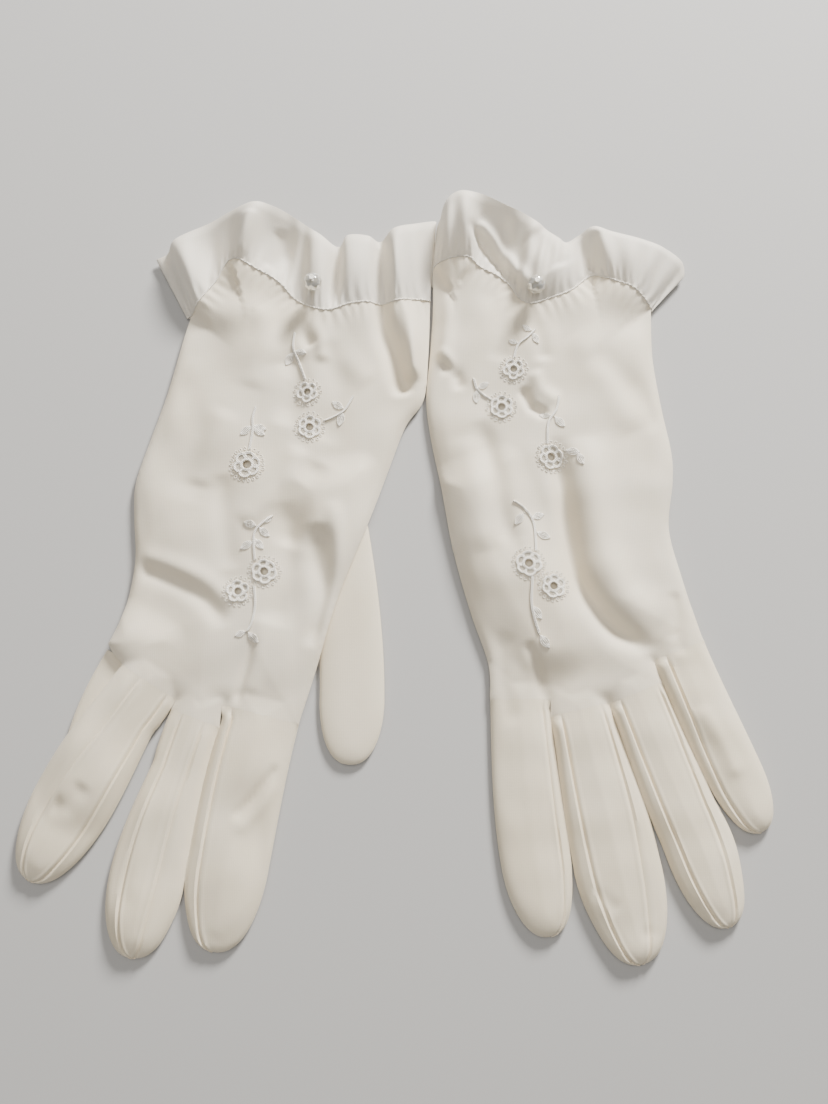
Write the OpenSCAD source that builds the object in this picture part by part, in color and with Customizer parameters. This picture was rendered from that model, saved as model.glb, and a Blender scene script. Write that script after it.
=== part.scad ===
// A pair of wrist gloves in thin knitted nylon, laid flat with the backs of the hands up.
// Each glove is cut and sewn from panels: a back, a palm, a thumb, four fingers with side strips
// (fourchettes), a gathered cuff frill, a thread-sewn glass bead and openwork embroidery.
// Millimetres, +Z up, fingers towards -Y. The origin is under the middle of the pair.

/* [Fabric] */
// Thickness of one panel
panel_t = 0.8; // [0.6:0.1:0.9]
// Height of a hand as it lies
hand_h = 8; // [8:0.1:9]
// Height of a finger as it lies
finger_h = 4.6; // [4.2:0.1:4.8]
// Height of a thumb or a finger that is tucked under the glove
tucked_h = 3.8; // [3.4:0.1:3.8]
// Clearance between pieces that move apart
gap = 0.4; // [0.4:0.05:0.5]

/* [Cuff] */
// Thickness of the gathering cord round the wrist
cord_d = 1.3; // [1:0.1:1.5]
// Thickness of the frill
frill_t = 0.8; // [0.6:0.1:1]

/* [Bead] */
// Diameter of the glass bead
bead_d = 6.8; // [6:0.1:7.5]
// Diameter of the thread that holds it
thread_d = 0.9; // [0.7:0.1:1.1]

/* [Embroidery] */
// Outside diameter of a stitched flower
flower_d = 9.6; // [8:0.1:11]
// Diameter of the eyelet cut through its middle
eyelet_d = 2.8; // [2:0.1:3.2]
// Height of the satin stitch above the cloth
stitch_h = 0.7; // [0.4:0.1:1]

/* [Hidden] */

cloth = [0.93, 0.91, 0.86];
frill_cloth = [0.9, 0.9, 0.88];
silk = [0.95, 0.93, 0.87];
middle_of_pair = [-0.7, 10, 0];
seam_overlap = 0.05;
tip_taper = 1.05;
leaf_start = 0.22;
leaf_width = 0.16;
bay_roof = tucked_h + gap;

// Where each digit's middle line starts, bends and ends, then its width at the root and its widest
right_thumb = [[-21, 6], [-12, -42], [-15.5, -82.5], 21, 22.5];
right_index = [[-45, -66], [-55, -106], [-60, -144], 25, 27];
right_middle = [[-68.5, -67], [-84, -108], [-87, -146], 15, 25];
right_ring = [[-85.5, -54], [-104, -82], [-123, -121], 21, 28];
right_little = [[-93.5, -47], [-104, -66], [-107, -98], 16, 19];
left_thumb = [[33, 8], [43, -20], [60, -46], 20, 20];
left_index = [[43, -60.5], [43.5, -100], [53, -139], 19, 23];
left_middle = [[64.5, -64], [74, -104], [83, -148], 18, 28.5];
left_ring = [[83.5, -58.5], [98, -95], [113, -136], 16, 22.5];
left_little = [[101, -43], [112.5, -74], [125.5, -105], 16.5, 19];

// The sides of each hand, from the wrist to the fingers, and the finger roots between them
right_outer = [[-75, 82], [-78, 70], [-83, 50], [-88, 34], [-93, 17], [-93, 4], [-92, -12], [-95, -30], [-100, -42]];
right_roots = [[-84.8, -50], [-76, -59.4], [-74.8, -63.6], [-61.3, -69], [-57.4, -62.4]];
right_inner = [[-32.8, -68.4], [-27, -50], [-20, -26], [-10, 0], [-2, 22], [4, 38], [8.5, 47], [8.5, 64], [8, 82]];
left_outer = [[93, 82], [94, 64], [97, 45], [100, 28], [100, 17], [98, 0], [102, -18], [108, -39]];
left_roots = [[93.4, -44.6], [91, -53.8], [76.2, -60.4], [72.6, -61.4], [56, -65], [52.5, -60]];
left_inner = [[33.4, -60], [33, -48], [27, -30], [21, -8], [17, 14], [13, 34], [11, 48], [14, 66], [15, 80]];

// The room under each palm where the thumb lies and swings
right_bay = [[-38, 14], [-38, -78], [0, -78], [0, 14]];
left_bay = [[15, 24], [15, -54], [74, -54], [74, 24]];

// The wrist seam round each glove and the frill's free edge, each point above the other
right_wrist = [
    [-75, 84, 5], [-66, 89, 8], [-56, 94, 9], [-46, 91, 9], [-38, 87, 8], [-28, 85, 8], [-15, 85, 8], [-2, 85, 8],
    [6, 85, 5], [5, 85, 2], [-15, 85, 0.7], [-40, 85, 0.7], [-60, 85, 0.7], [-73, 84, 2]
];
right_edge = [
    [-86, 104, 7], [-74, 114, 10], [-58, 124, 15], [-46, 124, 16], [-34, 116, 10], [-23, 109, 8], [-12, 111, 9], [0, 114, 12],
    [10, 119, 7], [8, 117, 2], [-15, 108, 0.7], [-40, 108, 0.7], [-66, 108, 0.7], [-85, 101, 2]
];
left_wrist = [
    [15, 87, 5], [22, 94, 8], [31, 94, 9], [41, 89, 9], [51, 86, 8], [60, 87, 8], [70, 88, 8], [82, 86, 8],
    [93, 84, 5], [92, 84, 2], [75, 84, 0.7], [55, 84, 0.7], [35, 84, 0.7], [17, 86, 2]
];
left_edge = [
    [14, 115, 7], [23, 128, 14], [33, 128, 17], [46, 122, 15], [58, 113, 10], [66, 111, 8], [76, 114, 11], [92, 110, 11],
    [107, 100, 8], [105, 98, 2], [80, 106, 0.7], [58, 106, 0.7], [36, 108, 0.7], [18, 112, 2]
];

right_bead_at = [-29.5, 88.5];
left_bead_at = [51, 87.5];
bead_lift = 9.6;

// Flower centres on each glove, near the wrist and over the knuckles
right_wrist_at = [[-31.5, 49.5], [-30.5, 36.5], [-52.5, 22.5]];
right_knuckle_at = [[-45.5, -16], [-54.5, -23]];
left_wrist_at = [[43, 58], [38.5, 44], [56, 25.5]];
left_knuckle_at = [[47, -13.5], [55.5, -21.5]];

// Stems as lists of points, and leaves as a base and a tip
right_stems = [
    [[-36.5, 72], [-36, 65], [-33, 56]],
    [[-15, 48], [-18, 43], [-24.5, 40]],
    [[-50, 44], [-50.5, 37], [-52, 28.5]],
    [[-43, 4], [-49, -1], [-50, -9]],
    [[-48.5, -22.5], [-49, -32], [-51, -37]]
];
right_leaves = [
    [[-36, 65], [-39.5, 60]], [[-36, 65], [-32, 64]], [[-18, 43], [-22.5, 46]], [[-18, 43], [-20, 38]],
    [[-50.5, 37], [-54, 34]], [[-50.5, 37], [-46, 35.5]], [[-49, -1], [-53, 0.5]], [[-49, -1], [-46, -4]],
    [[-50, -5], [-54, -8]], [[-50, -4], [-47, -8]], [[-51, -37], [-47.5, -41]], [[-51, -37], [-54, -38.5]]
];
left_stems = [
    [[50, 72], [45, 68], [43.5, 63.5]],
    [[29, 55], [30.5, 50], [34, 47]],
    [[59, 48], [57, 40], [54.5, 31]],
    [[42, 9], [48, 3], [50, -7]],
    [[48, -20], [47.5, -31], [50, -38]]
];
left_leaves = [
    [[50, 72], [46.5, 74.5]], [[50, 72], [51.5, 68]], [[30.5, 50], [34.5, 52]], [[30.5, 50], [29.5, 45.5]],
    [[57, 40], [53, 40.5]], [[57, 40], [61, 37]], [[48, 3], [53, 4]], [[46, 5], [43, 1]],
    [[50, -3], [54.5, -5]], [[47.6, -33], [51, -35]], [[50, -38], [53, -42]]
];

function mix(a, b, t) = a + (b - a) * t;
function eased(t) = t * t * (3 - 2 * t);
function line_at(f, t) = mix(mix(f[0], f[1], t), mix(f[1], f[2], t), t);
function heading(f, t) = let(d = mix(f[1] - f[0], f[2] - f[1], t)) d / norm(d);
function side_of(d) = [-d[1], d[0]];
function taper_from(f) = 1 - tip_taper * f[4] / norm(f[2] - f[0]);

// Pairs of how far along a digit a cross-section is and how wide it is there
function sections(f) = let(t0 = taper_from(f)) concat(
    [for (k = [0:4]) [t0 * k / 5, mix(f[3], f[4], eased(k / 5))]],
    [for (a = [0, 18, 36, 52, 66, 78, 88]) [t0 + (1 - t0) * sin(a), f[4] * cos(a) ^ 0.85]]
);
function edge_of(f, s, inset) = [
    for (c = sections(f)) line_at(f, c[0]) + s * side_of(heading(f, c[0])) * max(c[1] / 2 - inset, 0.05)
];
function reversed(list) = [for (i = [len(list) - 1:-1:0]) list[i]];
function digit_outline(f) = concat(edge_of(f, 1, 0), reversed(edge_of(f, -1, 0)));

// One side's wall, between the outline and the same outline a panel's thickness further in
function side_strip(f, s) = concat(edge_of(f, s, 0), reversed(edge_of(f, s, panel_t)));

// A point list moved sideways by d, to the left of the way it runs
function along(p, i) = let(a = p[max(i - 1, 0)], b = p[min(i + 1, len(p) - 1)]) (b - a) / norm(b - a);
function shifted(p, d) = [for (i = [0:len(p) - 1]) p[i] + d * side_of(along(p, i))];
function ribbon(p, w) = concat(shifted(p, w / 2), reversed(shifted(p, -w / 2)));

// Cross-sections joined into a closed loop, each a list of the same number of points
module closed_loop(rings) {
    n = len(rings);
    m = len(rings[0]);
    polyhedron(
        points = [for (r = rings, p = r) p],
        faces = [
            for (i = [0:n - 1], j = [0:m - 1], half = [0, 1])
                let(
                    a = i * m + j,
                    b = i * m + (j + 1) % m,
                    c = ((i + 1) % n) * m + (j + 1) % m,
                    d = ((i + 1) % n) * m + j
                )
                half == 0 ? [a, b, c] : [a, c, d]
        ],
        convexity = 6
    );
}

// Sets a piece in the part's own frame
module placed() {
    translate(middle_of_pair) children();
}

module slab(outline, low, high) {
    translate([0, 0, low]) linear_extrude(height = high - low) polygon(outline);
}

module hand_shape(outer, roots, inner, low, high) {
    slab(concat(outer, roots, inner), low, high);
}

// The back's edge along the wrist, just short of the cord that gathers the frill
function wrist_line(wrist, first, last) = [
    for (i = [first:sign(last - first):last]) [wrist[i][0], wrist[i][1] - cord_d / 2 - gap]
];

// Top of the hand with its turned-down sides, pierced by the eyelets
module back_panel(outer, roots, inner, wrist, bay, eyelets, turn) {
    color(cloth) placed() difference() {
        union() {
            hand_shape(outer, roots, concat(inner, wrist), hand_h - panel_t, hand_h);
            difference() {
                union() {
                    slab(concat(outer, reversed(shifted(outer, turn * panel_t))), panel_t, hand_h - panel_t);
                    slab(concat(inner, reversed(shifted(inner, turn * panel_t))), panel_t, hand_h - panel_t);
                }
                slab(bay, -1, bay_roof + panel_t);
            }
        }
        for (p = eyelets)
            translate([p[0], p[1], hand_h - 2 * panel_t]) cylinder(h = 3 * panel_t, d = eyelet_d, $fn = 24);
    }
}

// Underside of the hand: flat on the table, and lifted over the tucked thumb
module palm_panel(outer, roots, inner, bay) {
    color(cloth) placed() {
        difference() {
            hand_shape(outer, roots, inner, 0, panel_t);
            slab(bay, -1, panel_t + 1);
        }
        intersection() {
            hand_shape(outer, roots, inner, bay_roof, bay_roof + panel_t);
            slab(bay, bay_roof, bay_roof + panel_t);
        }
        intersection() {
            hand_shape(outer, roots, inner, 0, bay_roof + panel_t);
            difference() {
                slab(bay_grown(bay), 0, bay_roof + panel_t);
                slab(bay, -1, bay_roof + panel_t + 1);
            }
        }
    }
}

// The bay's outline, grown by a panel's thickness on the three sides inside the hand
function bay_grown(bay) = let(
    low = [min([for (p = bay) p[0]]), min([for (p = bay) p[1]])],
    high = [max([for (p = bay) p[0]]), max([for (p = bay) p[1]])]
) [
    low - [panel_t, panel_t], [high[0] + panel_t, low[1] - panel_t],
    high + [panel_t, panel_t], [low[0] - panel_t, high[1] + panel_t]
];

// A digit's upper panel; "turned" lists the sides, 1 or -1, where it folds down to the lower one
module digit_back(f, low, high, turned) {
    color(cloth) placed() {
        slab(digit_outline(f), high - panel_t, high);
        for (s = turned) slab(side_strip(f, s), low + panel_t, high - panel_t + seam_overlap);
    }
}

// The space inside a digit's outline, open at its root
function inside_of(f) = [
    f[0] - heading(f, 0), f[1], f[2] - heading(f, 1) * panel_t, f[3] - 2 * panel_t, f[4] - 2 * panel_t
];

// A thumb's upper panel folds down to the lower one all the way round
module thumb_back(f) {
    color(cloth) placed() difference() {
        slab(digit_outline(f), panel_t, tucked_h);
        slab(digit_outline(inside_of(f)), 0, tucked_h - panel_t);
    }
}

module digit_palm(f, low) {
    color(cloth) placed() slab(digit_outline(f), low, low + panel_t);
}

module fourchettes(f, low, high, sides) {
    color(cloth) placed() for (s = sides) slab(side_strip(f, s), low + panel_t, high - panel_t);
}

// The frill is a closed ring of cloth from the wrist seam to its free edge
module cuff_frill(wrist, edge) {
    n = len(wrist);
    lift = [0, gap + cord_d / 2 + 0.4, 0];
    start = [for (i = [0:n - 1]) wrist[i] + lift];
    color(frill_cloth) placed() closed_loop([
        for (i = [0:n - 1])
            let(
                tangent = start[(i + 1) % n] - start[(i + n - 1) % n],
                out = cross(edge[i] - start[i], tangent),
                half = out / norm(out) * frill_t / 2
            )
            [start[i] - half, start[i] + half, edge[i] + half, edge[i] - half]
    ]);
}

// The cord that gathers the frill, drawn round the wrist seam
module gather_cord(wrist) {
    n = len(wrist);
    sides = 8;
    color(silk) placed() closed_loop([
        for (i = [0:n - 1])
            let(
                t = wrist[(i + 1) % n] - wrist[(i + n - 1) % n],
                u = t / norm(t),
                v = cross(u, [0, 1, 0])
            )
            [for (k = [0:sides - 1]) wrist[i] + cord_d / 2 * (cos(360 * k / sides) * v + sin(360 * k / sides) * [0, 1, 0])]
    ]);
}

// A glass bead with a hole down its middle
module bead(at) {
    color([0.85, 0.88, 0.9, 0.6]) placed() translate([at[0], at[1], bead_lift + bead_d / 2 + gap]) difference() {
        sphere(d = bead_d, $fn = 48);
        cylinder(h = bead_d + 2, d = thread_d + 0.2, center = true, $fn = 24);
    }
}

// The thread comes up through the frill and the bead, and ends in a stitch on top
module bead_thread(at) {
    top = bead_lift + bead_d + 2 * gap;
    color(silk) placed() {
        translate([at[0], at[1], bead_lift - 2.4]) cylinder(h = top - bead_lift + 2.4, d = thread_d, $fn = 24);
        translate([at[0], at[1], top]) cylinder(h = 0.6, d = 2 * thread_d, $fn = 24);
    }
}

// A stitched ring round the eyelet with five loops outside it
module flower(at) {
    petals = 5;
    translate([at[0], at[1], hand_h]) difference() {
        union() {
            cylinder(h = stitch_h, d = flower_d * 0.62, $fn = 24);
            for (k = [0:petals - 1])
                rotate(360 / petals * k) translate([flower_d * 0.27, 0, 0])
                    cylinder(h = stitch_h, d = flower_d * 0.4, $fn = 24);
        }
        translate([0, 0, -1]) cylinder(h = stitch_h + 2, d = eyelet_d, $fn = 24);
    }
}

module flowers(places) {
    color(silk) placed() for (p = places) flower(p);
}

module stems(lines, leaves) {
    color(silk) placed() {
        for (p = lines) slab(ribbon(p, stitch_h), hand_h, hand_h + stitch_h * 0.8);
        for (l = leaves) {
            base = mix(l[0], l[1], leaf_start);
            mid = mix(l[0], l[1], 0.6);
            wide = side_of(l[1] - l[0]) * leaf_width;
            slab([base, mid + wide, l[1], mid - wide], hand_h, hand_h + stitch_h);
        }
    }
}

module right_back_panel() {
    top = wrist_line(right_wrist, 8, 0);
    back_panel(right_outer, right_roots, right_inner, top, right_bay, concat(right_wrist_at, right_knuckle_at), 1);
}
module left_back_panel() {
    top = wrist_line(left_wrist, 0, 8);
    back_panel(left_outer, left_roots, left_inner, top, left_bay, concat(left_wrist_at, left_knuckle_at), -1);
}

right_back_panel();
palm_panel(right_outer, right_roots, right_inner, right_bay);  // right_palm_panel
gather_cord(right_wrist);  // right_gather_cord
cuff_frill(right_wrist, right_edge);  // right_cuff_frill
bead(right_bead_at);  // right_bead
bead_thread(right_bead_at);  // right_bead_thread
flowers(right_wrist_at);  // right_wrist_flowers
flowers(right_knuckle_at);  // right_knuckle_flowers
stems(right_stems, right_leaves);
thumb_back(right_thumb);  // right_thumb_back
digit_palm(right_thumb, 0);  // right_thumb_palm
digit_back(right_index, 0, finger_h, [1]);  // right_index_back
digit_palm(right_index, 0);  // right_index_palm
fourchettes(right_index, 0, finger_h, [-1]);  // right_index_fourchette
digit_back(right_middle, 0, finger_h, []);  // right_middle_back
digit_palm(right_middle, 0);  // right_middle_palm
fourchettes(right_middle, 0, finger_h, [1, -1]);  // right_middle_fourchettes
digit_back(right_ring, bay_roof, hand_h, []);  // right_ring_back
digit_palm(right_ring, bay_roof);  // right_ring_palm
fourchettes(right_ring, bay_roof, hand_h, [1, -1]);  // right_ring_fourchettes
digit_back(right_little, 0, tucked_h, [-1]);  // right_little_back
digit_palm(right_little, 0);  // right_little_palm
fourchettes(right_little, 0, tucked_h, [1]);  // right_little_fourchette

left_back_panel();
palm_panel(left_outer, left_roots, left_inner, left_bay);  // left_palm_panel
gather_cord(left_wrist);  // left_gather_cord
cuff_frill(left_wrist, left_edge);  // left_cuff_frill
bead(left_bead_at);  // left_bead
bead_thread(left_bead_at);  // left_bead_thread
flowers(left_wrist_at);  // left_wrist_flowers
flowers(left_knuckle_at);  // left_knuckle_flowers
stems(left_stems, left_leaves);
thumb_back(left_thumb);  // left_thumb_back
digit_palm(left_thumb, 0);  // left_thumb_palm
digit_back(left_index, 0, finger_h, [-1]);  // left_index_back
digit_palm(left_index, 0);  // left_index_palm
fourchettes(left_index, 0, finger_h, [1]);  // left_index_fourchette
digit_back(left_middle, 0, finger_h, []);  // left_middle_back
digit_palm(left_middle, 0);  // left_middle_palm
fourchettes(left_middle, 0, finger_h, [1, -1]);  // left_middle_fourchettes
digit_back(left_ring, 0, finger_h, []);  // left_ring_back
digit_palm(left_ring, 0);  // left_ring_palm
fourchettes(left_ring, 0, finger_h, [1, -1]);  // left_ring_fourchettes
digit_back(left_little, 0, finger_h, [1]);  // left_little_back
digit_palm(left_little, 0);  // left_little_palm
fourchettes(left_little, 0, finger_h, [-1]);  // left_little_fourchette
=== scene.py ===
import math

import bpy
import numpy as np
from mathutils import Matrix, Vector
from mathutils.geometry import delaunay_2d_cdt


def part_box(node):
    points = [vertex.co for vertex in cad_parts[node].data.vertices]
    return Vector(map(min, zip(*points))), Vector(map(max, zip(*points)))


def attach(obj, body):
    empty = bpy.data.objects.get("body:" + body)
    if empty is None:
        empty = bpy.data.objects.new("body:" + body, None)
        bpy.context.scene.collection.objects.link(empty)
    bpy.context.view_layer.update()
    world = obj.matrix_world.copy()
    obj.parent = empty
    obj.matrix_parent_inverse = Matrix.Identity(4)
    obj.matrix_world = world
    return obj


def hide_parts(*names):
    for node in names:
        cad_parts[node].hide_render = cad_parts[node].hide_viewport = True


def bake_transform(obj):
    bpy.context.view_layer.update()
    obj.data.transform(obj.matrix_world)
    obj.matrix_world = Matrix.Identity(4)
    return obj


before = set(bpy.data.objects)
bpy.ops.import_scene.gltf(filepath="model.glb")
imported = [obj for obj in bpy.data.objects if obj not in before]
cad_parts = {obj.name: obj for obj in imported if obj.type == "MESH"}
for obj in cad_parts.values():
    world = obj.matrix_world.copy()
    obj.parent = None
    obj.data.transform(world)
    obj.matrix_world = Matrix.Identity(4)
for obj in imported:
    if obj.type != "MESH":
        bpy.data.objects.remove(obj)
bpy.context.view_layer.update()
print("frame loaded:", len(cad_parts), "nodes")

mm = 0.001
shift = np.array([-0.7, 10.0])  # from the layout of the pair to the part's own frame

# How the cloth lies, in millimetres
cloth = {
    "seamHeight": 0.9,
    "handPuff": 5.2,
    "fingerPuff": 3.3,
    "handRound": 13.0,
    "fingerRound": 8.0,
    "thickness": 0.35,
    "gridStep": 1.05,
    "tuckedLift": 3.0,
    "tipTaper": 1.05,
    "rootReach": 12.0,
    "rootBend": 16.0,
    "rootAxis": 4.6,
    "seamRidge": 0.3,
    "seamGroove": 0.5,
    "wristPull": 11.0,
}

# Each glove in the pair's layout, in millimetres
# digits: middle line (start, bend, end), width at the root and widest width
# strips: a side strip's seam, as a share of the half width at root and tip, and the height of its welt
# fills: how far a side strip swells towards its neighbour, and up to where along the finger
# overFrill, underFrill: seam point, edge point and bulge, round the cuff
# flowers: place and radius; leaves: base and tip; creases, frillFolds: line, height and width
rightGlove = {
    "name": "right",
    "turn": 1,
    "digits": {
        "thumb": ((-21, 6), (-12, -42), (-15.5, -82.5), 21, 22.5),
        "index": ((-45, -66), (-55, -106), (-60, -144), 25, 27),
        "middle": ((-68.5, -67), (-84, -108), (-87, -146), 15, 25),
        "ring": ((-85.5, -54), (-104, -82), (-123, -121), 21, 28),
        "little": ((-93.5, -47), (-104, -66), (-107, -98), 16, 19),
    },
    "strips": {
        "index": {-1: (0.74, 0.62, 1.2)},
        "middle": {-1: (0.5, 0.55, 0.1), 1: (0.42, 0.3, 0.2)},
        "ring": {-1: (0.2, 0.55, 0.1), 1: (0.72, 0.62, 0.3)},
        "little": {1: (0.6, 0.6, 0.2)},
    },
    "tucked": ("thumb", "little"),
    "outer": [
        (-75, 80.5), (-78, 70), (-83, 50), (-88, 34), (-93, 17),
        (-93, 4), (-92, -12), (-95, -30), (-100, -42),
    ],
    "inner": [
        (-32.8, -68.4), (-27, -50), (-20, -26), (-10, 0), (-2, 22),
        (4, 38), (10.5, 48), (12.2, 64), (13, 86),
    ],
    "fills": {
        "index": {-1: (5, 0.9)},
        "middle": {-1: (2.5, 0.22), 1: (5, 0.9)},
        "ring": {1: (2.5, 0.22)},
    },
    "overFrill": [
        ((-75, 80.5, 1.8), (-84.5, 104, 4), 1), ((-71.5, 84.5, 6.5), (-81, 108, 8), 1.5),
        ((-66, 92, 5.5), (-69, 114.5, 7), -2.2), ((-62, 99, 6.5), (-61.5, 118, 9), -1.2),
        ((-57.5, 99.5, 9), (-52, 120, 13.5), 1), ((-51, 96, 8.5), (-45, 119.3, 11.5), -1.5),
        ((-43, 92, 6), (-38.5, 117, 8.5), -3.2), ((-36.5, 85.5, 4.2), (-33, 113.5, 7.5), -1.5),
        ((-29, 81, 7.5), (-27.5, 109.5, 8.5), 2), ((-23, 80.5, 7.5), (-21, 105.8, 5.5), -1.8),
        ((-17, 82.5, 8), (-17.5, 109.2, 8.5), 1.5), ((-10, 83.5, 7.5), (-10, 109, 8.5), 1.5),
        ((-5, 84, 3), (-5.5, 108.5, 4.2), -1.2), ((1, 84, 8), (-0.5, 111.5, 9.5), 1.5),
        ((7, 85.5, 4.5), (7.5, 114.5, 7), 0.5), ((13, 86, 1.5), (15.4, 117, 3), -0.5),
    ],
    "underFrill": [
        ((6, 84.5, 1), (8, 112, 1), 0), ((-15, 83, 0.8), (-15, 108, 0.8), 0),
        ((-40, 83, 0.8), (-40, 108, 0.8), 0), ((-62, 83, 0.8), (-70, 108, 0.8), 0),
        ((-76, 79.5, 1), (-88.5, 102.5, 1.2), 0),
    ],
    "frillFolds": [
        ([(-47, 96), (-43, 103), (-42, 112)], -1.0, 2.6),
        ([(-58, 100), (-55, 108), (-53, 117)], 0.9, 2.6),
    ],
    "flowers": {
        "wrist": [(-31.5, 49.5, 4.2), (-30.5, 36.5, 4.6), (-52.5, 22.5, 5.3)],
        "knuckle": [(-45.5, -16, 4.8), (-54.5, -23, 4.4)],
    },
    "stems": [
        [(-36.5, 72), (-37, 66), (-35, 61), (-32.4, 54)],
        [(-15, 48), (-18, 43), (-21, 41), (-25.5, 39)],
        [(-50, 44), (-51, 40), (-51, 35), (-52, 28)],
        [(-43, 4), (-47, 1), (-49.5, -3), (-49, -12)],
        [(-49, -21), (-48.5, -28), (-49.5, -34), (-51, -37)],
    ],
    "leaves": [
        ((-36.6, 65), (-39.5, 60)), ((-36.6, 65), (-32, 64)), ((-18, 43), (-22.5, 46)),
        ((-18.5, 42.6), (-20, 37)), ((-51, 37), (-55, 33.5)),
        ((-51, 37), (-46, 35.5)), ((-51, 36.5), (-46.5, 33.5)), ((-48, 0), (-53, 1.5)),
        ((-48, 0), (-44, -3.5)), ((-49.3, -5), (-54, -8)),
        ((-49.3, -4), (-46, -8)), ((-51, -37), (-47, -41)),
        ((-51, -37), (-55, -38.5)), ((-43, 4), (-45.5, 1.5)),
    ],
    "creases": [
        ([(-93, -13), (-78, -19), (-66, -26), (-58, -36)], -1.3, 3.2),
        ([(-93, -9), (-77, -14), (-64, -20), (-54, -30)], 0.9, 3.4),
        ([(-48, -38), (-52, -52), (-55, -63)], -0.9, 1.6),
        ([(-46, -30), (-47, -45), (-50, -60)], 0.5, 3.0),
        ([(-42, 84), (-40, 70), (-36, 55), (-40, 36)], -1.5, 4.5),
        ([(-48, 84), (-48, 66), (-52, 50)], 0.7, 5.0),
        ([(-26, 78), (-22, 66), (-8, 52)], 0.8, 5.0),
        ([(-24, 70), (-20, 52), (-26, 30)], -0.8, 5.0),
        ([(-62, 20), (-60, 0), (-57, -16)], -0.8, 4.0),
        ([(-40, 10), (-38, -12), (-42, -36)], -1.0, 4.5),
        ([(-27, 2), (-26, -12), (-24, -26), (-27, -44)], -2.6, 4.2),
        ([(-33, 30), (-42, 14), (-54, 0)], 1.0, 4.0),
        ([(-26, 24), (-33, 8), (-38, -8)], -1.2, 4.5),
        ([(-60, 44), (-66, 30), (-70, 14)], 0.8, 5.0),
        ([(-22, 10), (-18, -14), (-17, -30)], 0.8, 3.2),
        ([(-39, -82), (-48, -94), (-55, -101)], -0.9, 1.2),
        ([(-38, -88), (-46, -98), (-54, -106)], 0.6, 1.8),
        ([(-80, 60), (-70, 30), (-74, 8)], -0.6, 6.0),
        ([(-104, -88), (-110, -96), (-116, -95)], -0.8, 3.2),
        ([(-84, -88), (-86, -110), (-88, -128)], 0.4, 3.0),
        ([(3, 86), (6, 70), (8, 54)], 3.0, 3.0),
        ([(-5.5, 88), (-3.5, 74), (1, 60), (4, 48)], -3.6, 3.4),
        ([(-67, 78), (-52, 82), (-42, 76), (-38, 60)], 1.6, 7.0),
        ([(-36, 82), (-33, 72), (-30, 66)], -1.6, 2.6),
        ([(-30, 80), (-27, 70), (-26, 60)], 1.2, 2.4),
    ],
}
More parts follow.
